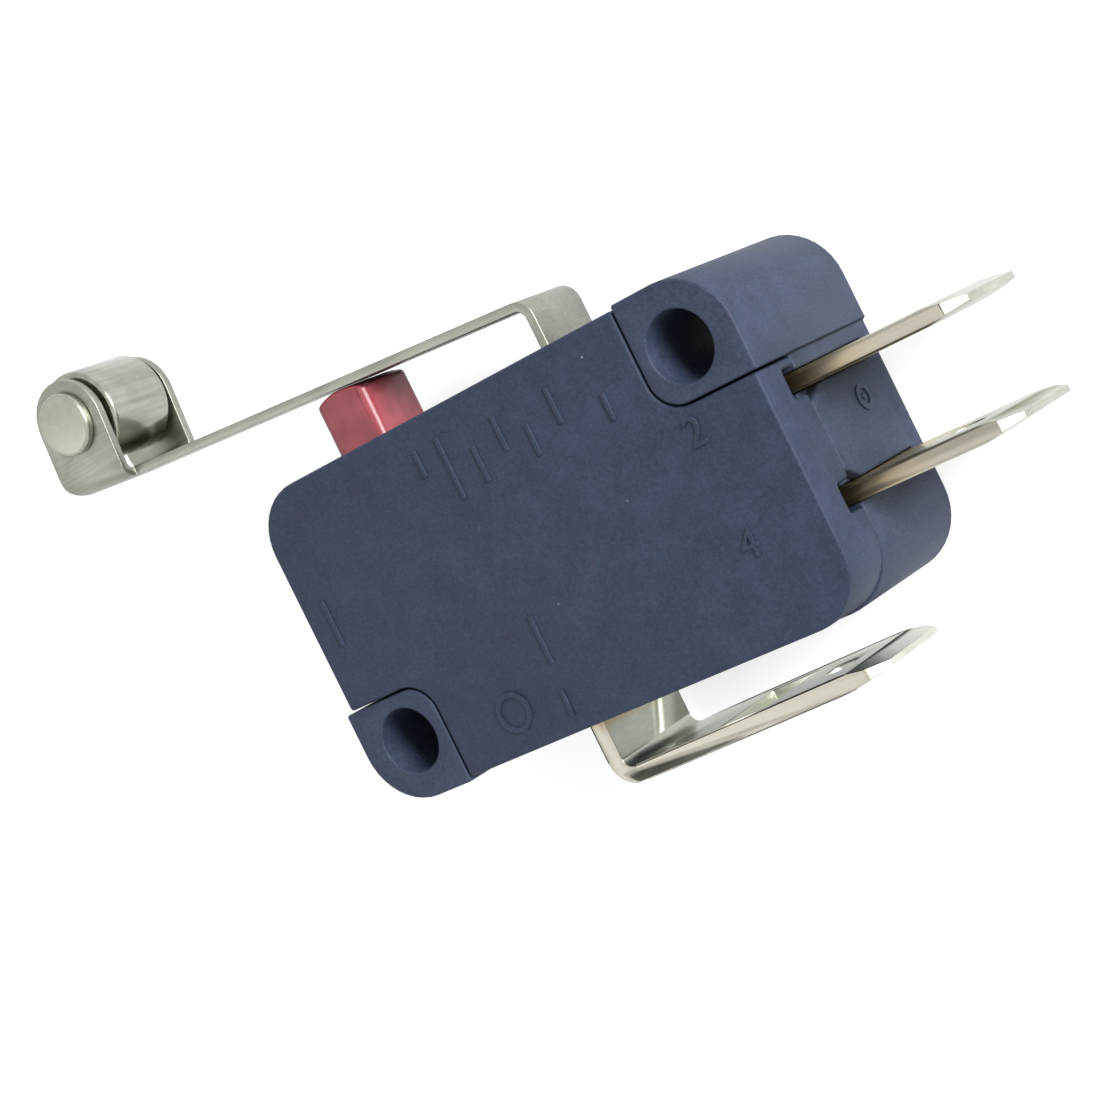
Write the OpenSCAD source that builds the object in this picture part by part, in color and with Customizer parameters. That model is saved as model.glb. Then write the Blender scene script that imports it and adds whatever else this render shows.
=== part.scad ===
// Snap-action switch with a hinged roller lever.
// The switch lies on its back: X runs along the body towards the two end blades, Y runs up
// towards the lever, Z is the thickness. The origin is on the axis of the lower mounting
// hole, at the back face.

/* [Housing] */
// Length of the housing
body_l = 27.8; // [27.4:0.1:29]
// Height of the housing, from its bottom to the face that the plunger comes out of
body_h = 15.9; // [15.7:0.1:17]
// Thickness of the housing
body_t = 10.3; // [10.1:0.1:11.5]
// Radius of the housing's corners
corner_r = 2.85; // [2.3:0.05:3]
// Thickness of the housing's side walls
wall = 1.3; // [1.1:0.05:1.5]
// Thickness of the case's back wall
floor_t = 1.0; // [0.8:0.05:1.2]
// Depth of the case, up to the face where the cover meets it
case_t = 7.2; // [7.1:0.05:7.4]
// Thickness of the cover's front wall
cover_t = 1.2; // [1:0.05:1.5]
// How far the cover stands inside the bosses' outline, above and below
cover_inset = 0.18; // [0.1:0.02:0.3]
// How far the cover stands inside the bosses' outline, at its left end
cover_left = 0.4; // [0.2:0.05:0.5]
// How far the end face that the blades come out of stands inside the upper boss
end_inset = 0.15; // [0.05:0.05:0.3]
// Open joint between the cover and the case's mounting bosses
boss_joint = 0.1; // [0.05:0.01:0.15]

/* [Mounting holes] */
// Diameter of the mounting holes
hole_d = 3.1; // [2.9:0.05:3.2]
// Distance from the lower hole to the housing's left end and to its bottom
hole_inset = 2.8; // [2.7:0.05:2.9]
// Distance between the holes along the housing
pitch_x = 22.2; // [22:0.1:22.3]
// Distance between the holes across the housing
pitch_y = 10.3; // [10.2:0.05:10.4]
// Half width of the boss around each hole
boss_half = 2.2; // [2.1:0.05:2.3]
// Radius of the boss's inner corner
boss_corner_r = 1.4; // [1:0.1:1.6]

/* [Cover pegs] */
// Diameter of the cover's locating pegs
peg_d = 1.2; // [1:0.05:1.3]
// Length of the pegs below the joint face
peg_l = 2.4; // [1.5:0.1:3.5]
// Diameter of the case's pillars that take the pegs
pillar_d = 2.2; // [2:0.05:2.3]

/* [Plunger] */
// Distance of the plunger from the lower hole, along the housing
plunger_x = 2.45; // [2.3:0.05:2.6]
// Width of the plunger along the housing
plunger_w = 3.1; // [2.8:0.05:3.2]
// Width of the plunger across the thickness
plunger_d = 3.7; // [3.4:0.05:3.8]
// Radius of the plunger's upright edges
plunger_edge_r = 0.45; // [0.2:0.05:0.6]
// Radius of the plunger's domed head
dome_r = 3.4; // [3:0.1:4]
// How far the plunger's collar stands out to each side
collar_lip = 0.5; // [0.4:0.05:0.55]
// Height of the collar
collar_h = 0.8; // [0.6:0.05:1]
// Width of the stem below the collar
stem_w = 2.2; // [2:0.05:2.4]
// Radius of the nose that presses the drive arm
nose_r = 1.0; // [0.8:0.05:1.1]

/* [Lever] */
// Thickness of the lever's sheet
lever_t = 0.45; // [0.4:0.01:0.5]
// Width of the lever's strip
lever_w = 4.0; // [3.6:0.1:4.1]
// Distance of the lever's foot from the lower hole, to the foot's outer face
lever_x = 14.35; // [14:0.05:14.6]
// Height of the strip's upper face above the housing, at the foot
lever_rise = 2.28; // [2.1:0.02:2.5]
// Angle at which the strip climbs away from its foot, at rest
lever_tilt = 4.8; // [4:0.1:5.5]
// Outer radius of the bend between the foot and the strip
bend_r = 0.95; // [0.8:0.05:1.2]
// Depth of the hinge below the housing's top face
hinge_drop = 0.8; // [0.6:0.05:1]
// How far each hook at the foot's end stands out sideways
hook_lip = 0.8; // [0.5:0.05:1]
// Height of the hooks
hook_h = 0.7; // [0.5:0.05:0.9]

/* [Roller and fork] */
// Diameter of the roller
roller_d = 4.8; // [4.4:0.1:5]
// Length of the roller
roller_w = 4.1; // [3.6:0.1:4.2]
// Gap between the roller and each ear
roller_gap = 0.3; // [0.2:0.05:0.4]
// Distance from the lever's foot to the roller's pin, along the strip
pin_reach = 27.3; // [26:0.1:29]
// Height of the roller's pin above the strip
pin_rise = 3.15; // [3:0.05:3.4]
// Radius of the ears around the pin
ear_r = 2.15; // [2:0.05:2.3]
// Radius of the fold between the ears and the strip
fold_r = 0.75; // [0.6:0.05:0.9]
// Radius of the ears' lower corner
ear_corner_r = 1.2; // [0.8:0.1:1.4]
// Diameter of the pin
pin_d = 1.6; // [1.4:0.05:1.8]
// Diameter of the pin's head
head_d = 3.2; // [2.8:0.1:3.4]
// Thickness of the pin's head
head_t = 0.5; // [0.4:0.05:0.6]
// Diameter of the pin's riveted end
rivet_d = 2.4; // [2.2:0.1:2.6]
// Thickness of the pin's riveted end
rivet_t = 0.35; // [0.25:0.05:0.45]

/* [Blades] */
// Thickness of the blades
blade_t = 0.8; // [0.75:0.05:0.85]
// Width of the blades
blade_w = 6.35; // [6.2:0.05:6.4]
// Length of the end blades outside the housing
blade_out = 8.05; // [7:0.05:9]
// Length over which a blade narrows at its tip
tip_l = 0.9; // [0.6:0.1:1.4]
// Length over which a blade thins towards its tip
thin_l = 1.8; // [1.4:0.1:2.2]
// Width of a blade's tip
tip_w = 4.8; // [4:0.1:5.2]
// Thickness of a blade's tip
tip_t = 0.3; // [0.25:0.05:0.4]
// Diameter of the hole in each blade
blade_hole_d = 1.7; // [1.5:0.05:1.9]
// Distance from a blade's tip to its hole
blade_hole_in = 3.7; // [3.2:0.1:4]
// Height of the normally closed blade above the lower mounting hole
nc_y = 6.95; // [6.85:0.05:7.05]
// Height of the normally open blade above the lower mounting hole
no_y = 1.8; // [1.7:0.05:1.9]
// Distance of the common blade's post from the lower mounting hole
post_x = 7.45; // [7.3:0.05:7.6]
// Drop of the common blade below the housing, to its upper face
com_drop = 2.47; // [2.3:0.05:2.7]
// Length of the common blade beyond its post
com_out = 14.2; // [12:0.1:15]
// Outer radius of the common blade's bend
com_bend_r = 1.3; // [1:0.05:1.6]
// Angle by which the common blade climbs towards its tip
com_rise = 1.4; // [0:0.1:3]
// Distance of the common blade's opening from its post
com_open_x = 5.1; // [4.5:0.1:6]
// Length of the opening
com_open_l = 2.7; // [2:0.1:3]
// Width of the opening
com_open_w = 5.1; // [4.5:0.1:5.4]

/* [Contacts] */
// Distance of the contacts from the lower mounting hole
contact_x = 18.6; // [18.2:0.1:18.8]
// Diameter of the fixed contacts
fixed_d = 2.8; // [2.4:0.1:3]
// Height of the fixed contacts
fixed_h = 0.75; // [0.7:0.01:0.8]
// Diameter of the moving contact
moving_d = 2.4; // [2:0.1:2.6]
// Height of the moving contact over both heads
moving_h = 1.85; // [1.75:0.01:1.9]
// Diameter of the contacts' shanks
shank_d = 1.2; // [1:0.05:1.3]

/* [Snap mechanism] */
// Thickness of the contact arm's sheet
arm_t = 0.35; // [0.3:0.01:0.4]
// Thickness of the drive arm's sheet
drive_t = 0.4; // [0.35:0.01:0.45]
// Width of both arms
arm_w = 5.6; // [5.2:0.1:5.8]
// Width of the window that the spring runs through
window_w = 2.8; // [2.6:0.05:3]
// Angle of the drive arm above level, at rest
drive_rest = 21; // [20:0.5:22]
// How far the drive arm's knife edge lies below the contact arm's
drive_low = 0.9; // [0.8:0.05:1]
// Distance from the knife edge to the spring's hook on the drive arm
drive_hook = 4.4; // [4.2:0.05:4.6]
// Distance from the knife edge to the spring's hook on the contact arm
arm_hook = 6.45; // [6.2:0.05:6.8]
// Outer diameter of the tension spring
coil_d = 1.9; // [1.6:0.05:2]
// Diameter of the spring's wire
wire_d = 0.3; // [0.25:0.01:0.35]
// Diameter of the holes that the spring hooks into
hook_hole_d = 0.96; // [0.9:0.02:1.1]
// Number of turns in the spring
coil_turns = 15; // [12:1:17]

/* [Clearances] */
// Gap between a sliding piece and its guide
slide_gap = 0.06; // [0.03:0.01:0.1]
// Gap between pieces that touch in use
touch_gap = 0.04; // [0.02:0.01:0.06]
// Radial clearance of a pin or shank in its hole
pin_gap = 0.03; // [0.01:0.01:0.05]
// Gap between a blade and its slot
slot_gap = 0.05; // [0.03:0.01:0.08]
// Room on each side of the lever's foot in its slot
foot_gap = 0.2; // [0.16:0.01:0.25]

/* [Hidden] */
$fn = 48;
eps = 0.01;               // overrun of a cut beyond the face it opens
arc_steps = 10;           // straight pieces in a quarter turn of an outline

// Faces of the housing
left = -hole_inset;
right = body_l - hole_inset;
bottom = -hole_inset;
top = body_h - hole_inset;
mid_z = body_t / 2;
hole_2 = [pitch_x, pitch_y];

// Blades: they lie in slots of the case and stand a little proud of its joint face
blade_z = floor_t + slot_gap * 2;
blade_mid = blade_z + blade_w / 2;
end_x = right - end_inset;
blade_in = contact_x - fixed_d / 2 - 0.3;
block_l = 1.4;            // length of the blocks that carry the blades inside the end wall
relief = 0.55;            // corner relief of the case beside the end blades
pocket_y = 0.25;          // room beside a blade's edge in the cover's pocket
pocket_z = 0.85;          // depth of the cover's pocket beyond a blade's edge

// Snap mechanism: two arms rock in grooves on both faces of the common blade's post
groove_in = 0.05;
nc_face = nc_y - blade_t / 2 - fixed_h;
no_face = no_y + blade_t / 2 + fixed_h;
pivot_y = (nc_face + no_face) / 2;
arm_pivot = [post_x + blade_t - groove_in, pivot_y];
drive_pivot = [post_x + groove_in, pivot_y - drive_low];
arm_reach = contact_x - arm_pivot[0];
arm_swing = nc_face - no_face - moving_h - 2 * touch_gap;
arm_rest = asin(arm_swing / 2 / arm_reach);
post_top = pivot_y + 1.1;
saddle_y = drive_pivot[1] - 0.9; // bottom of the opening in the post that the spring passes
coil_r = (coil_d - wire_d) / 2;
spring_from = drive_pivot + drive_hook * [-cos(drive_rest), sin(drive_rest)];
spring_to = arm_pivot + arm_hook * [cos(arm_rest), sin(arm_rest)];

// Lever: the strip's upper face and the foot's outer face meet at the knee
knee = [lever_x, top + lever_rise];
bend_in = bend_r / tan((90 + lever_tilt) / 2);
hinge = [lever_x - lever_t / 2, top - hinge_drop];
foot_end = top - wall - touch_gap * 2 - hook_h;
fork_in = roller_w + 2 * roller_gap;
fork_out = fork_in + 2 * lever_t;
// Height of the strip's lower face above the hinge, square to the strip
under_h = (knee - hinge) * [sin(lever_tilt), cos(lever_tilt)] - lever_t;

// Plunger: its nose rests on the drive arm and its dome carries the strip
nose_y = drive_pivot[1] + (nose_r + drive_t / 2 + touch_gap
                    + (drive_pivot[0] - plunger_x) * sin(drive_rest)) / cos(drive_rest);
dome_y = hinge[1] + (under_h + (hinge[0] - plunger_x) * sin(lever_tilt)
                     - dome_r - touch_gap) / cos(lever_tilt);
collar_y = top - wall - touch_gap - collar_h;

// ---- outlines ----------------------------------------------------------------------

function arc(c, r, from, to, n = arc_steps) =
    [for (i = [0:n]) c + r * [cos(from + (to - from) * i / n), sin(from + (to - from) * i / n)]];

// Rectangle between two corners, with one radius at all four corners
function round_box(p, q, r) = concat(
    arc([q[0] - r, q[1] - r], r, 0, 90), arc([p[0] + r, q[1] - r], r, 90, 180),
    arc([p[0] + r, p[1] + r], r, 180, 270), arc([q[0] - r, p[1] + r], r, 270, 360));

// Boss at a corner of the housing: square but for its rounded inner corner. side is -1 at
// the lower left and 1 at the upper right, and grow widens it.
function boss_outline(c, side, far, grow = 0) =
    let (h = boss_half + grow, r = boss_corner_r + grow)
    [for (p = concat([[far, far], [far, -h]], arc([r - h, r - h], r, 270, 180), [[-h, far]]))
        c + side * p];

module slab(outline, z0, z1) {
    translate([0, 0, z0]) linear_extrude(z1 - z0) polygon(outline);
}

module block(p, q) {
    translate(p) cube(q - p);
}

// ---- housing -----------------------------------------------------------------------

module boss(c, side, z0, z1, grow = 0) {
    slab(boss_outline(c, side, 2 * hole_inset, grow), z0, z1);
}

module body_outline(inset, z0, z1) {
    slab(round_box([left + inset, bottom + inset], [right - inset, top - inset],
                   corner_r - inset), z0, z1);
}

// Outline without the bosses: the given insets are at the left and at the long sides
module shell_outline(inset_left, inset, z0, z1) {
    slab(round_box([left + inset_left, bottom + inset], [end_x, top - inset],
                   corner_r - inset), z0, z1);
}

module bosses(z0, z1, grow = 0) {
    boss([0, 0], -1, z0, z1, grow);
    boss(hole_2, 1, z0, z1, grow);
}

module mount_holes() {
    for (c = [[0, 0], hole_2])
        translate([c[0], c[1], -1]) cylinder(d = hole_d, h = body_t + 2);
}

// Pillars stand in free corners of the case and take the cover's pegs
pillars = [[left + wall + pillar_d / 2 - 0.3, top - wall - pillar_d / 2 + 0.1],
           [(plunger_x + lever_x) / 2 + 1.5, top - wall - pillar_d / 2 + 0.3],
           [right - wall - pillar_d / 2 + 0.2, bottom + wall + pillar_d / 2 - 0.2]];

// Space that an end blade takes up in the case, from the contact end out through the wall
module blade_slot(y) {
    block([right - wall - block_l - 1, y - blade_t / 2 - slot_gap, blade_z - slot_gap],
          [right + 1, y + blade_t / 2 + slot_gap, case_t + 1]);
}

// Broken corner of the case's end wall beside a blade; side is the way it faces
module blade_relief(y, side) {
    a = y + side * (blade_t / 2 + slot_gap);
    slab_pts = [[case_t - relief * 2, a - side * eps], [case_t + 1, a - side * eps],
                [case_t + 1, a + side * relief], [case_t, a + side * relief]];
    translate([right - wall / 2, 0, 0]) rotate([0, -90, 0]) mirror([0, 0, 1])
        linear_extrude(wall) polygon(slab_pts);
}

module case() {
    color([0.22, 0.24, 0.33]) difference() {
        union() {
            difference() {
                shell_outline(0, 0, 0, case_t);
                body_outline(wall, floor_t, case_t + 1);
            }
            intersection() {
                body_outline(0, 0, body_t);
                bosses(0, body_t);
            }
            for (p = pillars)
                translate([p[0], p[1], floor_t / 2])
                    cylinder(d = pillar_d, h = case_t - floor_t / 2);
            // Blocks that hold the end blades and the common blade's post
            for (y = [nc_y, no_y])
                block([right - wall - block_l, y - blade_t / 2 - 1, floor_t / 2],
                      [right - wall / 2, y + blade_t / 2 + 1, case_t]);
            block([post_x - 1.2, bottom + wall / 2, floor_t / 2],
                  [post_x + blade_t + 1.2, bottom + wall + 1.2, case_t]);
            // Ribs that steer the plunger's collar
            for (s = [-1, 1])
                translate([plunger_x + s * (plunger_w / 2 + collar_lip + slide_gap + 0.3), 0, 0])
                    block([-0.3, collar_y - 2.6, floor_t / 2], [0.3, top - wall / 2, case_t]);
        }
        mount_holes();
        for (p = pillars)
            translate([p[0], p[1], case_t - peg_l - 0.3])
                cylinder(d = peg_d + 2 * pin_gap, h = peg_l + 1);
        blade_slot(nc_y);
        blade_slot(no_y);
        blade_relief(nc_y, -1);
        blade_relief(no_y, 1);
        block([post_x - slot_gap, bottom - 1, blade_z - slot_gap],
              [post_x + blade_t + slot_gap, bottom + wall + 2, case_t + 1]);
        // Guide of the plunger and slot of the lever's foot, both open to the joint face
        block([plunger_x - plunger_w / 2 - slide_gap, top - wall - 1,
               mid_z - plunger_d / 2 - slide_gap],
              [plunger_x + plunger_w / 2 + slide_gap, top + 1, case_t + 1]);
        block([lever_x - lever_t - foot_gap, top - wall - 1, mid_z - lever_w / 2 - slide_gap],
              [lever_x + foot_gap, top + 1, case_t + 1]);
    }
}

module cover() {
    color([0.25, 0.27, 0.37]) difference() {
        union() {
            difference() {
                shell_outline(cover_left, cover_inset, case_t, body_t);
                body_outline(wall, case_t - 1, body_t - cover_t);
            }
            for (p = pillars)
                translate([p[0], p[1], case_t - peg_l]) cylinder(d = peg_d, h = peg_l + eps);
            for (p = pillars)
                translate([p[0], p[1], case_t])
                    cylinder(d = pillar_d, h = body_t - cover_t / 2 - case_t);
            // Wall around the bosses
            intersection() {
                shell_outline(cover_left, cover_inset, case_t, body_t - cover_t / 2);
                bosses(case_t, body_t - cover_t / 2, boss_joint + wall / 2);
            }
        }
        bosses(case_t - 1, body_t + 1, boss_joint);
        // Pockets that close over the blades' edges
        for (y = [nc_y, no_y])
            block([right - wall - 1, y - blade_t / 2 - pocket_y, case_t - 1],
                  [right + 1, y + blade_t / 2 + pocket_y, blade_z + blade_w + pocket_z]);
        block([post_x - pocket_y, bottom - 1, case_t - 1],
              [post_x + blade_t + pocket_y, bottom + wall + 1, blade_z + blade_w + pocket_y]);
    }
}

// ---- plunger -----------------------------------------------------------------------

module plunger() {
    z0 = mid_z - plunger_d / 2;
    z1 = mid_z + plunger_d / 2;
    color([0.72, 0.2, 0.22]) difference() {
        union() {
            intersection() {
                // Head, with rounded upright edges
                translate([plunger_x, dome_y + dome_r + 1, mid_z]) rotate([90, 0, 0])
                    linear_extrude(dome_y + dome_r + 1 - collar_y)
                        polygon(round_box([-plunger_w / 2, -plunger_d / 2],
                                          [plunger_w / 2, plunger_d / 2], plunger_edge_r));
                union() {
                    translate([plunger_x, dome_y, z0 - 1]) cylinder(r = dome_r, h = plunger_d + 2, $fn = 96);
                    block([plunger_x - plunger_w, collar_y - 1, z0 - 1],
                          [plunger_x + plunger_w, dome_y, z1 + 1]);
                }
            }
            block([plunger_x - plunger_w / 2 - collar_lip, collar_y, z0],
                  [plunger_x + plunger_w / 2 + collar_lip, collar_y + collar_h, z1]);
            block([plunger_x - stem_w / 2, nose_y, z0], [plunger_x + stem_w / 2, collar_y + eps, z1]);
            translate([plunger_x, nose_y, z0]) cylinder(r = nose_r, h = plunger_d);
        }
        // Groove in the nose that clears the spring's hook
        block([plunger_x - stem_w, nose_y - nose_r - 1, blade_mid - 0.6],
              [plunger_x + stem_w, nose_y + nose_r, blade_mid + 0.6]);
    }
}

// ---- lever and roller --------------------------------------------------------------

// Moves from the knee's own frame, where the strip runs towards -X, to the part's frame
module at_knee() {
    translate([knee[0], knee[1], mid_z]) rotate(-lever_tilt) children();
}

module lever_profile() {
    centre = knee - [bend_r, bend_in];
    polygon(concat(
        [[lever_x, foot_end]], arc(centre, bend_r, 0, 90 - lever_tilt),
        arc(centre, bend_r - lever_t, 90 - lever_tilt, 0), [[lever_x - lever_t, foot_end]]));
}

// Side view of the fork in the knee's frame: two ears round the pin and the floor below
function fork_side() = concat(
    arc([-pin_reach, pin_rise], ear_r, 0, 180, 2 * arc_steps),
    arc([-pin_reach - ear_r + ear_corner_r, ear_corner_r - lever_t], ear_corner_r, 180, 270),
    [[-pin_reach + ear_r, -lever_t]]);

module fork() {
    intersection() {
        translate([0, 0, -fork_out]) linear_extrude(2 * fork_out) polygon(fork_side());
        // Channel section, folded up on both sides
        rotate([0, -90, 0]) translate([0, 0, pin_reach - 2 * ear_r]) linear_extrude(4 * ear_r)
            difference() {
                polygon(round_box([-fork_out / 2, -lever_t], [fork_out / 2, 3 * pin_rise], fold_r));
                polygon(round_box([-fork_in / 2, 0], [fork_in / 2, 4 * pin_rise], fold_r - lever_t));
            }
    }
}

module lever() {
    neck = 0.6;
    color([0.72, 0.72, 0.66]) difference() {
        union() {
            translate([0, 0, mid_z - lever_w / 2]) linear_extrude(lever_w) lever_profile();
            at_knee() block([-pin_reach + ear_r - 0.2, -lever_t, -lever_w / 2],
                            [-bend_in, 0, lever_w / 2]);
            at_knee() fork();
            // The strip widens into the fork over a short neck
            at_knee() rotate([90, 0, 0]) linear_extrude(lever_t)
                polygon([[-pin_reach + ear_r - 0.2, -fork_out / 2 + fold_r],
                         [-pin_reach + ear_r + neck, -lever_w / 2],
                         [-pin_reach + ear_r + neck, lever_w / 2],
                         [-pin_reach + ear_r - 0.2, fork_out / 2 - fold_r]]);
            // Hooks that hold the foot under the top wall
            block([lever_x - lever_t, foot_end, mid_z - lever_w / 2 - hook_lip],
                  [lever_x, foot_end + hook_h, mid_z + lever_w / 2 + hook_lip]);
        }
        at_knee() translate([-pin_reach, pin_rise, -fork_out])
            cylinder(d = pin_d + 2 * pin_gap, h = 2 * fork_out);
    }
}

roller_edge = 0.25;       // rounding of the roller's rims
roller_bore_gap = 0.05;   // radial running clearance on the pin

module roller() {
    r = roller_d / 2;
    h = roller_w / 2;
    color([0.74, 0.74, 0.68]) at_knee() translate([-pin_reach, pin_rise, 0])
        rotate_extrude($fn = 72) polygon(concat(
            [[pin_d / 2 + roller_bore_gap, -h]],
            arc([r - roller_edge, roller_edge - h], roller_edge, -90, 0, 4),
            arc([r - roller_edge, h - roller_edge], roller_edge, 0, 90, 4),
            [[pin_d / 2 + roller_bore_gap, h]]));
}

module roller_pin() {
    head = fork_out / 2 + slide_gap / 2;
    color([0.78, 0.78, 0.72]) at_knee() translate([-pin_reach, pin_rise, 0]) {
        translate([0, 0, -head - eps]) cylinder(d = pin_d, h = 2 * head + 2 * eps);
        translate([0, 0, head]) rotate_extrude() polygon([[0, 0], [head_d / 2, 0],
            [head_d / 2, head_t * 0.7], [head_d / 2 - head_t * 0.3, head_t], [0, head_t]]);
        translate([0, 0, -head - rivet_t]) rotate_extrude() polygon([[0, 0],
            [rivet_d / 2 - rivet_t * 0.6, 0], [rivet_d / 2, rivet_t * 0.6],
            [rivet_d / 2, rivet_t], [0, rivet_t]]);
    }
}

// ---- blades ------------------------------------------------------------------------

// A quick-connect blade along +X with its tip at the origin: plan in X and Z, thinned and
// narrowed at the tip, with the detent hole. It is len long and centred on Y = 0.
module blade(len) {
    difference() {
        intersection() {
            translate([0, blade_t / 2, blade_mid]) rotate([90, 0, 0]) linear_extrude(blade_t)
                polygon([[-len, -blade_w / 2], [-tip_l, -blade_w / 2], [0, -tip_w / 2],
                         [0, tip_w / 2], [-tip_l, blade_w / 2], [-len, blade_w / 2]]);
            translate([0, 0, blade_z - 1]) linear_extrude(blade_w + 2)
                polygon([[-len, -blade_t / 2], [-thin_l, -blade_t / 2], [0, -tip_t / 2],
                         [0, tip_t / 2], [-thin_l, blade_t / 2], [-len, blade_t / 2]]);
        }
        translate([-blade_hole_in, blade_t, blade_mid]) rotate([90, 0, 0])
            cylinder(d = blade_hole_d, h = 2 * blade_t);
    }
}

module end_blade(y) {
    color([0.78, 0.78, 0.7]) translate([0, y, 0]) difference() {
        translate([end_x + blade_out, 0, 0]) blade(end_x + blade_out - blade_in);
        translate([contact_x, blade_t, blade_mid]) rotate([90, 0, 0])
            cylinder(d = shank_d + 2 * pin_gap, h = 2 * blade_t);
        // The contact end is narrower than the blade
        for (s = [-1, 1])
            translate([0, 0, blade_mid + s * blade_w / 2])
                block([blade_in - 1, -blade_t, -1.1], [right - wall - block_l - 0.5, blade_t, 1.1]);
    }
}

module nc_terminal() { end_blade(nc_y); }
module no_terminal() { end_blade(no_y); }

// Groove across one face of the post, in which an arm's edge rocks
module groove(p) {
    translate([p[0], p[1], blade_z - 1]) cylinder(r = drive_t / 2 + pin_gap * 2, h = blade_w + 2);
}

module com_terminal() {
    y0 = bottom - com_drop - blade_t;
    centre = [post_x + com_bend_r, y0 + com_bend_r];
    color([0.78, 0.78, 0.7]) difference() {
        union() {
            block([post_x, centre[1], blade_z], [post_x + blade_t, post_top, blade_z + blade_w]);
            slab(concat(arc(centre, com_bend_r, 180, 270 + com_rise),
                        arc(centre, com_bend_r - blade_t, 270 + com_rise, 180)),
                 blade_z, blade_z + blade_w);
            translate([centre[0], centre[1], 0]) rotate(com_rise)
                translate([com_out + blade_t - com_bend_r, blade_t / 2 - com_bend_r, 0])
                    blade(com_out + blade_t - com_bend_r);
        }
        translate([centre[0], centre[1], blade_mid - com_open_w / 2]) rotate(com_rise)
            translate([com_open_x + blade_t - com_bend_r, -com_bend_r - blade_t, 0])
                cube([com_open_l, 3 * blade_t, com_open_w]);
        // Opening that the spring passes through, between the two knife-edge prongs
        block([post_x - 1, saddle_y, blade_mid - window_w / 2],
              [post_x + blade_t + 1, post_top + 1, blade_mid + window_w / 2]);
        groove(arm_pivot);
        groove(drive_pivot);
    }
}

// ---- contacts ----------------------------------------------------------------------

// Domed contact head of height h, with its face at the origin and its back along +Y
module contact_head(d, h) {
    rim = h * 0.25;
    rotate([-90, 0, 0]) rotate_extrude() polygon([[0, 0], [d / 2 - rim * 2, 0],
        [d / 2, rim], [d / 2, h], [0, h]]);
}

module fixed_contact(y, side) {
    color([0.83, 0.82, 0.78]) translate([contact_x, y, blade_mid]) mirror([0, side < 0 ? 1 : 0, 0]) {
        contact_head(fixed_d, fixed_h);
        rotate([-90, 0, 0]) cylinder(d = shank_d, h = fixed_h + blade_t + eps);
        translate([0, fixed_h + blade_t, 0]) rotate([-90, 0, 0]) cylinder(d = shank_d + 0.5, h = 0.25);
    }
}

module nc_contact() { fixed_contact(nc_face, 1); }
module no_contact() { fixed_contact(no_face, -1); }

// ---- snap mechanism ----------------------------------------------------------------

// Moves from an arm's own frame, with its knife edge at the origin, to the part's frame
module at_arm(p, angle) {
    translate([p[0], p[1], blade_mid]) rotate(angle) children();
}

// Sheet arm along +X with a rounded knife edge, a window for the spring, a hook hole and,
// past window_l, a full width end
module arm(len, t, window_l, hook, end_w) {
    difference() {
        union() {
            translate([0, 0, -arm_w / 2]) cylinder(d = t, h = arm_w);
            rotate([90, 0, 0]) translate([0, 0, -t / 2]) linear_extrude(t)
                polygon([[0, -arm_w / 2], [window_l, -arm_w / 2], [len, -end_w / 2],
                         [len, end_w / 2], [window_l, arm_w / 2], [0, arm_w / 2]]);
        }
        block([-t, -t, -window_w / 2], [window_l, t, window_w / 2]);
        translate([hook, t, 0]) rotate([90, 0, 0]) cylinder(d = hook_hole_d, h = 2 * t, $fn = 24);
    }
}

module drive_arm() {
    color([0.75, 0.6, 0.35]) at_arm(drive_pivot, 180 - drive_rest)
        arm(drive_pivot[0] - plunger_x + 0.9, drive_t, drive_hook - 1, drive_hook, plunger_d + 0.4);
}

module contact_arm() {
    color([0.75, 0.6, 0.35]) at_arm(arm_pivot, arm_rest) difference() {
        arm(arm_reach + moving_d / 2 + 0.2, arm_t, arm_hook - 1.1, arm_hook, moving_d + 0.6);
        translate([arm_reach, arm_t, 0]) rotate([90, 0, 0])
            cylinder(d = shank_d + 2 * pin_gap, h = 2 * arm_t);
    }
}

module moving_contact() {
    head = (moving_h - arm_t) / 2 - pin_gap;
    color([0.83, 0.82, 0.78]) at_arm(arm_pivot, arm_rest) translate([arm_reach, 0, 0])
        for (s = [0, 1]) mirror([0, s, 0]) {
            translate([0, -moving_h / 2, 0]) contact_head(moving_d, head);
            translate([0, -moving_h / 2 + head - eps, 0]) rotate([-90, 0, 0])
                cylinder(d = shank_d, h = moving_h / 2 - head + eps);
        }
}

// Tension spring in its own frame: the hook at the origin is on the contact arm, and the
// axis runs along +X to the hook on the drive arm
spring_l = norm(spring_to - spring_from);
spring_angle = atan2(spring_from[1] - spring_to[1], spring_from[0] - spring_to[0]);
tail_l = 2.1;             // straight wire between a hook and the coils
hook_up = 0.5;            // height of a hook's bridge above the arm's middle plane
coil_pts = 10;            // points in a turn
coil_l = spring_l - 2 * tail_l;
half_pts = coil_pts / 2;  // points over which an end turn closes on the axis

function coil_point(i, n) =
    let (turn = 360 * i / coil_pts,
         r = coil_r * min(1, i / half_pts, (n - i) / half_pts))
    [tail_l + coil_l * i / n, r * sin(turn), r * cos(turn)];

function hook_path(x, way) = [for (p = [[0, -0.55], [0, -0.2], [0, 0.2], [0.15, hook_up],
    [0.5, hook_up], [1.3, hook_up - 0.1], [1.7, 0.05]]) [x + way * p[0], p[1], 0]];

spring_path = concat(
    hook_path(0, 1),
    [for (i = [0:coil_turns * coil_pts]) coil_point(i, coil_turns * coil_pts)],
    [for (i = [6:-1:0]) hook_path(spring_l, -1)[i]]);

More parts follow.
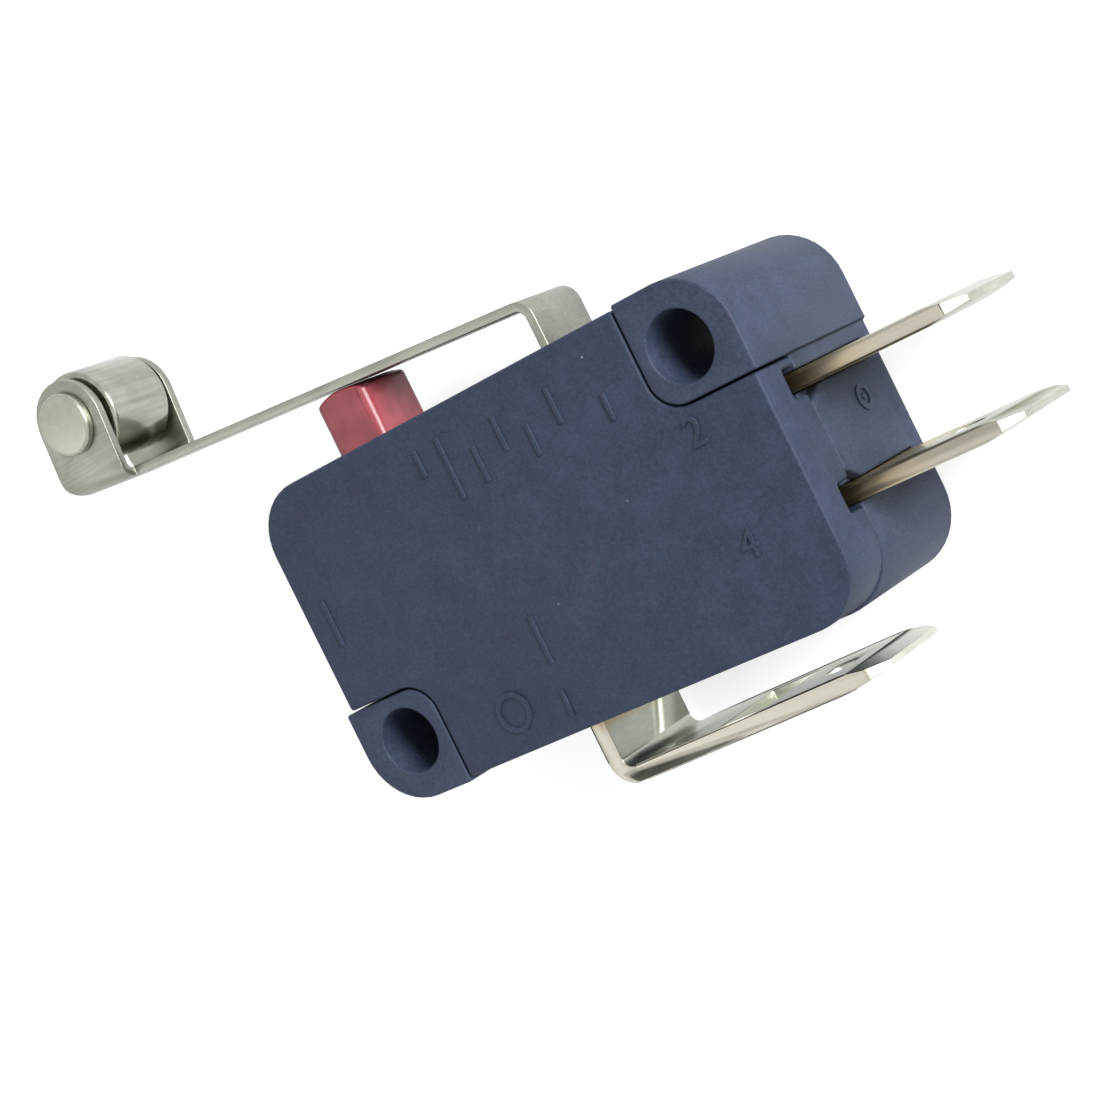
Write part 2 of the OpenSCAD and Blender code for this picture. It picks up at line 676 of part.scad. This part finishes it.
// Side vector of the wire's section: along the coil's radius, or along Z on a hook
function wire_side(i) =
    let (n = len(spring_path), k = i - 7, m = coil_turns * coil_pts)
    k < 0 || k > m ? [0, 0, 1] : [0, sin(360 * k / coil_pts), cos(360 * k / coil_pts)];

function wire_ring(i, sides = 6) =
    let (n = len(spring_path),
         a = spring_path[max(i - 1, 0)], b = spring_path[min(i + 1, n - 1)],
         t = (b - a) / norm(b - a), s0 = wire_side(i),
         s1 = s0 - (s0 * t) * t, s = s1 / norm(s1), u = cross(t, s))
    [for (k = [0:sides - 1]) spring_path[i] + wire_d / 2 * (cos(360 * k / sides) * s
                                                          + sin(360 * k / sides) * u)];

module snap_spring() {
    sides = 6;
    n = len(spring_path);
    color([0.6, 0.62, 0.65]) at_arm(spring_to, spring_angle) mirror([0, 1, 0])
        polyhedron(
            points = [for (i = [0:n - 1]) each wire_ring(i)],
            faces = concat(
                [[for (k = [sides - 1:-1:0]) k]], [[for (k = [0:sides - 1]) (n - 1) * sides + k]],
                [for (i = [0:n - 2], k = [0:sides - 1]) let (j = (k + 1) % sides)
                    [i * sides + k, i * sides + j, (i + 1) * sides + j, (i + 1) * sides + k]]));
}

// ---- nodes -------------------------------------------------------------------------

case();
cover();
plunger();
lever();
roller();
roller_pin();
com_terminal();
nc_terminal();
no_terminal();
nc_contact();
no_contact();
drive_arm();
contact_arm();
moving_contact();
snap_spring();
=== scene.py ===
"""Looks of the snap-action switch with a roller lever: finishes, edges, marks, light, camera."""
import math

import bmesh
import bpy
from mathutils import Matrix, Vector


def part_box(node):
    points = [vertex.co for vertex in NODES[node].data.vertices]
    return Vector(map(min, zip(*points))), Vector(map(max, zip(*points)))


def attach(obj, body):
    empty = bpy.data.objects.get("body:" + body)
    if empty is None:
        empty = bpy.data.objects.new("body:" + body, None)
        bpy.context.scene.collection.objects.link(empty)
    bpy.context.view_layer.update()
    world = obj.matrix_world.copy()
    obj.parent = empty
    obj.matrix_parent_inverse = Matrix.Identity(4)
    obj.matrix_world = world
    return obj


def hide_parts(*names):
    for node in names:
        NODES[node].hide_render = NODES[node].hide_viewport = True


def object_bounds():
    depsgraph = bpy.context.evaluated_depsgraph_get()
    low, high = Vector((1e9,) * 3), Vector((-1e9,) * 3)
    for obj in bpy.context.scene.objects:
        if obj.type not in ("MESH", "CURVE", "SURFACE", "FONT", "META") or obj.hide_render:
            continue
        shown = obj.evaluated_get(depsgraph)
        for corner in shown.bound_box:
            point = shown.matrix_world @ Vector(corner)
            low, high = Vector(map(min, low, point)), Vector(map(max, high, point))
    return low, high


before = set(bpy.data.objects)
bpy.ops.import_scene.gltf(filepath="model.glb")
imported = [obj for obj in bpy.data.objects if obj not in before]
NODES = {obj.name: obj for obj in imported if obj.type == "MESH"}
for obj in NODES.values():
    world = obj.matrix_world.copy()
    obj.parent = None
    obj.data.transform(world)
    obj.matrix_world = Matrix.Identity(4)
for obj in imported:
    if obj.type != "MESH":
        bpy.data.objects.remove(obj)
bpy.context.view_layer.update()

MM = 0.001
BLADE_OUT = 8.05 * MM  # how far the two end blades stand out of the housing


# ---- colours and materials ----------------------------------------------------------


def linear(code):
    """An sRGB hex colour such as "3f445c" as linear red, green, blue and alpha."""
    channels = [int(code[i : i + 2], 16) / 255 for i in (0, 2, 4)]
    return (*[c / 12.92 if c <= 0.04045 else ((c + 0.055) / 1.055) ** 2.4 for c in channels], 1.0)


def add(tree, kind, settings=None, values=None, links=None):
    """Adds one node with its settings, the values of its inputs and the outputs linked to them."""
    node = tree.nodes.new(kind)
    for name, value in (settings or {}).items():
        setattr(node, name, value)
    for name, value in (values or {}).items():
        node.inputs[name].default_value = value
    for name, output in (links or {}).items():
        tree.links.new(output, node.inputs[name])
    return node


def start_material(name):
    """An empty node material with its Principled shader and its Object coordinates."""
    material = bpy.data.materials.new(name)
    material.use_nodes = True
    tree = material.node_tree
    shader = tree.nodes["Principled BSDF"]
    coordinates = add(tree, "ShaderNodeTexCoord").outputs["Object"]
    return material, tree, shader, coordinates


def ramp(tree, factor, stops):
    """A colour ramp on factor with (position, colour) stops."""
    node = add(tree, "ShaderNodeValToRGB", links={"Fac": factor})
    elements = node.color_ramp.elements
    while len(elements) > 1:
        elements.remove(elements[-1])
    elements[0].position, elements[0].color = stops[0]
    for position, colour in stops[1:]:
        elements.new(position).color = colour
    return node.outputs["Color"]


def moulded_thermoset(name, dark, pale):
    """Filled thermoset, compression moulded: a dull skin, mottled by its filler, with a few
    pale specks of filler and dust."""
    material, tree, shader, where = start_material(name)
    # Clouds of filler about 1.5 mm across, and a grain of about 0.12 mm
    clouds = add(tree, "ShaderNodeTexNoise", values={"Scale": 650, "Detail": 5, "Roughness": 0.65},
                 links={"Vector": where})
    grain = add(tree, "ShaderNodeTexNoise", values={"Scale": 8000, "Detail": 3, "Roughness": 0.7},
                links={"Vector": where})
    cloud_share = add(tree, "ShaderNodeMath", {"operation": "MULTIPLY"}, {1: 0.45},
                      {0: clouds.outputs["Fac"]})
    blend = add(tree, "ShaderNodeMath", {"operation": "MULTIPLY_ADD"}, {1: 0.55},
                {0: grain.outputs["Fac"], 2: cloud_share.outputs[0]})
    skin = ramp(tree, blend.outputs[0], [(0.38, linear(dark)), (0.62, linear(pale))])
    # The pigment drifts between blue and violet in patches about 0.6 mm across
    patches = add(tree, "ShaderNodeTexNoise", values={"Scale": 1600, "Detail": 4, "Roughness": 0.7},
                  links={"Vector": where})
    drift = ramp(tree, patches.outputs["Fac"], [(0.4, linear("93b4b4")), (0.6, linear("c6a9b8"))])
    tinted = add(tree, "ShaderNodeMix", {"data_type": "RGBA", "blend_type": "OVERLAY"}, {0: 0.3},
                 {6: skin, 7: drift})
    # Specks 0.05 to 0.1 mm across, about one in each square millimetre
    cells = add(tree, "ShaderNodeTexVoronoi", values={"Scale": 900, "Randomness": 1.0},
                links={"Vector": where})
    speck = ramp(tree, cells.outputs["Distance"],
                 [(0.0, (1, 1, 1, 1)), (0.045, (1, 1, 1, 1)), (0.07, (0, 0, 0, 1))])
    draw = add(tree, "ShaderNodeSeparateColor", links={"Color": cells.outputs["Color"]})
    chosen = add(tree, "ShaderNodeMath", {"operation": "GREATER_THAN"}, {1: 0.86}, {0: draw.outputs[0]})
    speck_mask = add(tree, "ShaderNodeMath", {"operation": "MULTIPLY"}, None,
                     {0: speck, 1: chosen.outputs[0]})
    colour = add(tree, "ShaderNodeMix", {"data_type": "RGBA"}, {7: linear("8d90a2")},
                 {0: speck_mask.outputs[0], 6: tinted.outputs[2]})
    tree.links.new(colour.outputs[2], shader.inputs["Base Color"])
    shine = add(tree, "ShaderNodeMapRange", values={"To Min": 0.5, "To Max": 0.7},
                links={"Value": clouds.outputs["Fac"]})
    tree.links.new(shine.outputs[0], shader.inputs["Roughness"])
    bump = add(tree, "ShaderNodeBump", values={"Strength": 0.35, "Distance": 0.03 * MM},
               links={"Height": blend.outputs[0]})
    tree.links.new(bump.outputs[0], shader.inputs["Normal"])
    shader.inputs["Specular IOR Level"].default_value = 0.35
    return material


def red_acetal(name):
    """Red acetal, moulded: slightly glossy, and a little light passes its rims."""
    material, tree, shader, where = start_material(name)
    clouds = add(tree, "ShaderNodeTexNoise", values={"Scale": 900, "Detail": 4}, links={"Vector": where})
    colour = ramp(tree, clouds.outputs["Fac"], [(0.35, linear("96414b")), (0.65, linear("ab505a"))])
    tree.links.new(colour, shader.inputs["Base Color"])
    shader.inputs["Roughness"].default_value = 0.32
    shader.inputs["Subsurface Weight"].default_value = 0.5
    shader.inputs["Subsurface Radius"].default_value = (1.0, 0.16, 0.08)
    shader.inputs["Subsurface Scale"].default_value = 0.6 * MM
    bump = add(tree, "ShaderNodeBump", values={"Strength": 0.15, "Distance": 0.02 * MM},
               links={"Height": clouds.outputs["Fac"]})
    tree.links.new(bump.outputs[0], shader.inputs["Normal"])
    return material


def drawn_metal(name, dark, pale, stretch, rough):
    """Plated or bare metal with fine lines left by rolling, turning or drawing: stretch is the
    scale of the line pattern along X, Y and Z."""
    material, tree, shader, where = start_material(name)
    placed = add(tree, "ShaderNodeMapping", values={"Scale": stretch}, links={"Vector": where})
    lines = add(tree, "ShaderNodeTexNoise", values={"Scale": 1.0, "Detail": 4, "Roughness": 0.6},
                links={"Vector": placed.outputs[0]})
    stains = add(tree, "ShaderNodeTexNoise", values={"Scale": 420, "Detail": 4, "Roughness": 0.6},
                 links={"Vector": where})
    both = add(tree, "ShaderNodeMix", {"data_type": "FLOAT"}, {0: 0.5},
               {2: lines.outputs["Fac"], 3: stains.outputs["Fac"]})
    colour = ramp(tree, both.outputs[0], [(0.35, linear(dark)), (0.65, linear(pale))])
    tree.links.new(colour, shader.inputs["Base Color"])
    shader.inputs["Metallic"].default_value = 1.0
    shine = add(tree, "ShaderNodeMapRange",
                values={"From Min": 0.3, "From Max": 0.7, "To Min": rough - 0.06, "To Max": rough + 0.08},
                links={"Value": both.outputs[0]})
    tree.links.new(shine.outputs[0], shader.inputs["Roughness"])
    bump = add(tree, "ShaderNodeBump", values={"Strength": 0.2, "Distance": 0.008 * MM},
               links={"Height": lines.outputs["Fac"]})
    tree.links.new(bump.outputs[0], shader.inputs["Normal"])
    return material, tree, shader, where, colour


case_finish = moulded_thermoset("filled thermoset, moulded, case", "283044", "3d465c")
# The cover is the same plastic as the case. Its darker colours are painted shade, standing in for the
# weaker light on the cover's front face.
cover_painted_shade_finish = moulded_thermoset("filled thermoset, moulded, cover, painted darker as shade", "232b40", "363f56")
button_finish = red_acetal("acetal, moulded red")
lever_finish = drawn_metal("steel sheet, nickel plated", "8a8a80", "a6a79c", (300, 9000, 9000), 0.4)[0]
roller_finish = drawn_metal("free-cutting steel, turned and nickel plated", "8d8f84", "b4b6aa",
                            (2600, 2600, 160), 0.2)[0]
pin_finish = drawn_metal("steel pin, headed and nickel plated", "a2a396", "b0b1a4",
                         (2500, 2500, 300), 0.34)[0]
silver_finish = drawn_metal("silver contact", "b8b6ae", "dad8d0", (2500, 2500, 2500), 0.3)[0]
bronze_finish = drawn_metal("bronze spring strip", "8f6a3c", "b48a52", (400, 9000, 9000), 0.3)[0]
wire_finish = drawn_metal("drawn spring wire", "8b8c90", "aeb0b4", (2500, 2500, 2500), 0.28)[0]


def tinned_blade(name, dark, pale, root, clean, axis):
    """Brass blade strip, tinned before it was stamped: bare brass shows at the root, from root
    to clean along the axis, and the sheared edges of the strip are dull brown-grey."""
    material, tree, shader, where, colour = drawn_metal(name, dark, pale, (500, 7000, 900), 0.34)
    parts = add(tree, "ShaderNodeSeparateXYZ", links={"Vector": where})
    ragged = add(tree, "ShaderNodeTexNoise", values={"Scale": 1500, "Detail": 3},
                 links={"Vector": where})
    edge = add(tree, "ShaderNodeMath", {"operation": "MULTIPLY_ADD"}, {1: 1.2 * MM},
               {0: ragged.outputs["Fac"], 2: parts.outputs[axis]})
    brass = add(tree, "ShaderNodeMapRange", {"clamp": True}, {"From Min": root, "From Max": clean,
                                                              "To Min": 0.9, "To Max": 0.0},
                {"Value": edge.outputs[0]})
    mixed = add(tree, "ShaderNodeMix", {"data_type": "RGBA"}, {7: linear("c4ad6e")},
                {0: brass.outputs[0], 6: colour})
    # Sheared edges: where the surface is at the strip's two long edges
    blade_low, blade_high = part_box("nc_terminal")[0][2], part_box("nc_terminal")[1][2]
    off_middle = add(tree, "ShaderNodeMath", {"operation": "SUBTRACT"}, {1: (blade_low + blade_high) / 2},
                     {0: parts.outputs["Z"]})
    reach = add(tree, "ShaderNodeMath", {"operation": "ABSOLUTE"}, None, {0: off_middle.outputs[0]})
    half = (blade_high - blade_low) / 2
    sheared = add(tree, "ShaderNodeMapRange", {"clamp": True},
                  {"From Min": half - 0.1 * MM, "From Max": half - 0.03 * MM,
                   "To Min": 0.0, "To Max": 0.5},
                  {"Value": reach.outputs[0]})
    cut = add(tree, "ShaderNodeMix", {"data_type": "RGBA"}, {7: linear("94867a")},
              {0: sheared.outputs[0], 6: mixed.outputs[2]})
    tree.links.new(cut.outputs[2], shader.inputs["Base Color"])
    return material


end_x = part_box("nc_terminal")[1][0] - BLADE_OUT
end_blade_finish = tinned_blade("brass blade, tinned", "a2a596", "c2c5b8",
                                end_x + 1.0 * MM, end_x + 5.0 * MM, "X")
common_blade_finish = tinned_blade("brass common blade, tinned", "bec2b2", "dcdfd3",
                                   -2.2 * MM, -2.9 * MM, "Y")


# ---- pieces made from the solids ----------------------------------------------------


def coin(shape, width):
    """Coins the long straight edges of a blade that lie along its strip."""
    def along(edge):
        run = edge.verts[1].co - edge.verts[0].co
        return run.length > 4.5 * MM and max(abs(run.x), abs(run.y)) > 0.98 * run.length

    long_edges = [edge for edge in shape.edges if along(edge)]
    bmesh.ops.bevel(shape, geom=long_edges, offset=width, affect="EDGES", segments=1, profile=0.5,
                    material=-1, clamp_overlap=True)


def dressed(node, body, finish, radius, sharp=28, segments=3, coined=0):
    """A copy of a solid with its edges rounded by radius, which stands for the solid."""
    mesh = NODES[node].data.copy()
    shape = bmesh.new()
    shape.from_mesh(mesh)
    bmesh.ops.remove_doubles(shape, verts=shape.verts, dist=0.002 * MM)
    bmesh.ops.dissolve_limit(shape, angle_limit=math.radians(0.6), verts=shape.verts, edges=shape.edges)
    if coined:
        coin(shape, coined)
    for face in shape.faces:
        face.smooth = True
    shape.to_mesh(mesh)
    shape.free()
    mesh.materials.clear()
    mesh.materials.append(finish)
    piece = bpy.data.objects.new(node + "_piece", mesh)
    bpy.context.scene.collection.objects.link(piece)
    if radius:
        rounding = piece.modifiers.new("rounded edges", "BEVEL")
        rounding.width = radius
        rounding.segments = segments
        rounding.limit_method = "ANGLE"
        rounding.angle_limit = math.radians(sharp)
        rounding.harden_normals = True
        rounding.use_clamp_overlap = False
        rounding.miter_outer = "MITER_ARC"
    else:
        mesh.set_sharp_from_angle(angle=math.radians(sharp))
    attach(piece, body)
    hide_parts(node)
    return piece


dressed("case", "housing", case_finish, 0.12 * MM)
dressed("cover", "housing", cover_painted_shade_finish, 0.15 * MM)
dressed("plunger", "plunger", button_finish, 0.12 * MM)
dressed("lever", "lever", lever_finish, 0.05 * MM, segments=2)
dressed("roller", "roller", roller_finish, 0)
dressed("roller_pin", "lever", pin_finish, 0.08 * MM)
for blade in ("nc_terminal", "no_terminal"):
    dressed(blade, "housing", end_blade_finish, 0.05 * MM, segments=2,
            coined=0.2 * MM)
dressed("com_terminal", "housing", common_blade_finish, 0.05 * MM, segments=2,
        coined=0.2 * MM)
for contact, body in (("nc_contact", "housing"), ("no_contact", "housing"),
                      ("moving_contact", "contact_arm")):
    dressed(contact, body, silver_finish, 0)
dressed("drive_arm", "drive_arm", bronze_finish, 0)
dressed("contact_arm", "contact_arm", bronze_finish, 0)
dressed("snap_spring", "snap_spring", wire_finish, 0, sharp=80)


# ---- marks moulded on the housing ---------------------------------------------------

face_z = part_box("cover")[1][2]
STROKE = 0.24 * MM  # width of a moulded stroke
RELIEF = 0.09 * MM  # how far a mark stands proud


def ring(shape, middle, radius, axis):
    """A thin moulded ring of square section, about axis, which is "X" or "Z"."""
    along_x, along_y, along_z = Vector((1, 0, 0)), Vector((0, 1, 0)), Vector((0, 0, 1))
    across, up = (along_y, along_x) if axis == "X" else (along_x, along_z)
    section = [shape.verts.new(middle + across * r + up * h)
               for r, h in ((radius - STROKE, -RELIEF), (radius, -RELIEF), (radius, RELIEF),
                            (radius - STROKE, RELIEF))]
    edges = [shape.edges.new((section[i], section[(i + 1) % 4])) for i in range(4)]
    bmesh.ops.spin(shape, geom=section + edges, cent=middle, axis=up, angle=2 * math.pi, steps=40,
                   use_merge=True)


def moulded_piece(name, shape, finish):
    """Makes one piece of the marks on the housing from the shape."""
    bmesh.ops.remove_doubles(shape, verts=shape.verts, dist=0.001 * MM)
    bmesh.ops.recalc_face_normals(shape, faces=shape.faces)
    mesh = bpy.data.meshes.new(name)
    shape.to_mesh(mesh)
    shape.free()
    mesh.materials.append(finish)
    piece = bpy.data.objects.new(name, mesh)
    bpy.context.scene.collection.objects.link(piece)
    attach(piece, "housing")
    return piece


def numeral(shape, digit, x, y, height):
    """Adds a plain moulded numeral, with its lower left corner at x and y on the cover."""
    letter = bpy.data.curves.new("numeral", "FONT")
    letter.body = digit
    letter.size = height
    letter.extrude = RELIEF
    holder = bpy.data.objects.new("numeral", letter)
    bpy.context.scene.collection.objects.link(holder)
    mesh = bpy.data.meshes.new_from_object(holder.evaluated_get(bpy.context.evaluated_depsgraph_get()))
    mesh.transform(Matrix.Translation((x, y, face_z)))
    shape.from_mesh(mesh)
    bpy.data.objects.remove(holder)
    bpy.data.curves.remove(letter)
    bpy.data.meshes.remove(mesh)


# Plain strokes across the cover as x, y at the lower end, and height, in millimetres
STROKES = [(7.6, 10.3, 1.3), (9.0, 8.7, 3.0), (10.6, 8.9, 1.7), (12.2, 9.7, 1.7), (13.65, 8.9, 1.5),
           (15.35, 9.7, 1.7), (17.8, 8.8, 1.3), (-1.0, 5.2, 2.3), (9.3, 0.6, 2.3)]
marks = bmesh.new()
for x, y, height in STROKES:
    size = Matrix.Diagonal((STROKE, height * MM, 2 * RELIEF, 1))
    place = Matrix.Translation((x * MM, (y + height / 2) * MM, face_z))
    bar = bmesh.ops.create_cube(marks, size=1, matrix=place @ size)
    bmesh.ops.bevel(marks, geom=list({edge for vert in bar["verts"] for edge in vert.link_edges}),
                    offset=0.05 * MM, affect="EDGES", segments=2, profile=0.5, material=-1)
ring(marks, Vector((6.2 * MM, -0.7 * MM, face_z)), 0.95 * MM, "Z")
for digit, x, y in (("1", 8.6, -1.9), ("2", 20.6, 6.3), ("4", 20.6, 1.2)):
    numeral(marks, digit, x * MM, y * MM, 1.9 * MM)
moulded_piece("cover_marks", marks, cover_painted_shade_finish)

# Mark of the mould's gate, between the two blades
gate = bmesh.new()
gate_middle = Vector((end_x, 5.1 * MM, 3.1 * MM))
ring(gate, gate_middle, 0.6 * MM, "X")
bmesh.ops.create_cone(gate, cap_ends=True, segments=24, radius1=0.2 * MM, radius2=0.14 * MM,
                      depth=0.16 * MM,
                      matrix=Matrix.Translation(gate_middle) @ Matrix.Rotation(math.pi / 2, 4, "Y"))
moulded_piece("gate_mark", gate, case_finish)


# ---- floor, light and camera --------------------------------------------------------

def seen_or_mirrored(tree):
    """1 where the camera sees this, directly, in a mirror or through something clear."""
    paths = add(tree, "ShaderNodeLightPath").outputs
    bent = add(tree, "ShaderNodeMath", {"operation": "MAXIMUM"}, None,
               {0: paths["Is Glossy Ray"], 1: paths["Is Transmission Ray"]})
    return add(tree, "ShaderNodeMath", {"operation": "MAXIMUM"}, None,
               {0: paths["Is Camera Ray"], 1: bent.outputs[0]}).outputs[0]


low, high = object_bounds()
centre = Vector([(a + b) / 2 for a, b in zip(low, high)])

FLOOR_HALF = 2.0  # metres from the floor's middle to its side
FLOOR_GAP = 0.01 * MM  # the floor lies this far under the object

floor_mesh = bpy.data.meshes.new("floor")
floor_shape = bmesh.new()
bmesh.ops.create_grid(floor_shape, x_segments=1, y_segments=1, size=FLOOR_HALF,
                      matrix=Matrix.Translation((centre.x, centre.y, low[2] - FLOOR_GAP)))
floor_shape.to_mesh(floor_mesh)
floor_shape.free()
floor = bpy.data.objects.new("floor", floor_mesh)
bpy.context.scene.collection.objects.link(floor)

# The floor is white to the camera and to mirrors, and keeps a soft shadow
floor_finish = bpy.data.materials.new("white table")
floor_finish.use_nodes = True
tree = floor_finish.node_tree
tree.nodes.clear()
seen = seen_or_mirrored(tree)
matt = add(tree, "ShaderNodeBsdfDiffuse", values={"Color": linear("c8cbd0")})
glow = add(tree, "ShaderNodeEmission", values={"Color": (1, 1, 1, 1), "Strength": 0.72})
lit = add(tree, "ShaderNodeAddShader", links={0: matt.outputs[0], 1: glow.outputs[0]})
surface = add(tree, "ShaderNodeMixShader", links={0: seen, 1: matt.outputs[0], 2: lit.outputs[0]})
add(tree, "ShaderNodeOutputMaterial", links={"Surface": surface.outputs[0]})
floor_mesh.materials.append(floor_finish)

world = bpy.data.worlds.new("studio")
bpy.context.scene.world = world
world.use_nodes = True
tree = world.node_tree
tree.nodes.clear()
seen = seen_or_mirrored(tree)
strength = add(tree, "ShaderNodeMapRange", values={"To Min": 0.45, "To Max": 1.0},
               links={"Value": seen})
sky = add(tree, "ShaderNodeBackground", values={"Color": (1, 1, 1, 1)},
          links={"Strength": strength.outputs[0]})
add(tree, "ShaderNodeOutputWorld", links={"Surface": sky.outputs[0]})


def lamp(name, place, size, power, colour="ffffff"):
    """A square soft lamp at place, in millimetres from the object's middle, turned to it."""
    light = bpy.data.lights.new(name, "AREA")
    light.size = size * MM
    light.energy = power
    light.color = linear(colour)[:3]
    holder = bpy.data.objects.new(name, light)
    bpy.context.scene.collection.objects.link(holder)
    holder.location = centre + Vector(place) * MM
    holder.rotation_euler = (centre - holder.location).to_track_quat("-Z", "Y").to_euler()


lamp("main light", (250, 60, 110), 110, 1.0)
lamp("fill light", (-160, -60, 240), 200, 0.1)

# Camera: where it stands, the way it looks and which way is up, in the object's frame
CAMERA_PLACE = Vector((77.86, 7.09, 101.19)) * MM
CAMERA_LOOK = Vector((-0.5871, -0.0189, -0.8093)).normalized()
CAMERA_UP = Vector((0.3478, 0.8968, -0.2733))
camera_data = bpy.data.cameras.new("camera")
camera_data.lens = 85.25
camera_data.sensor_width = 36
camera_data.clip_start = 1 * MM
camera_data.clip_end = 10
camera = bpy.data.objects.new("camera", camera_data)
bpy.context.scene.collection.objects.link(camera)
right = CAMERA_LOOK.cross(CAMERA_UP).normalized()
above = right.cross(CAMERA_LOOK)
turn = Matrix((right, above, -CAMERA_LOOK)).transposed().to_4x4()
camera.matrix_world = Matrix.Translation(CAMERA_PLACE) @ turn
bpy.context.scene.camera = camera
bpy.context.scene.view_settings.view_transform = "Standard"
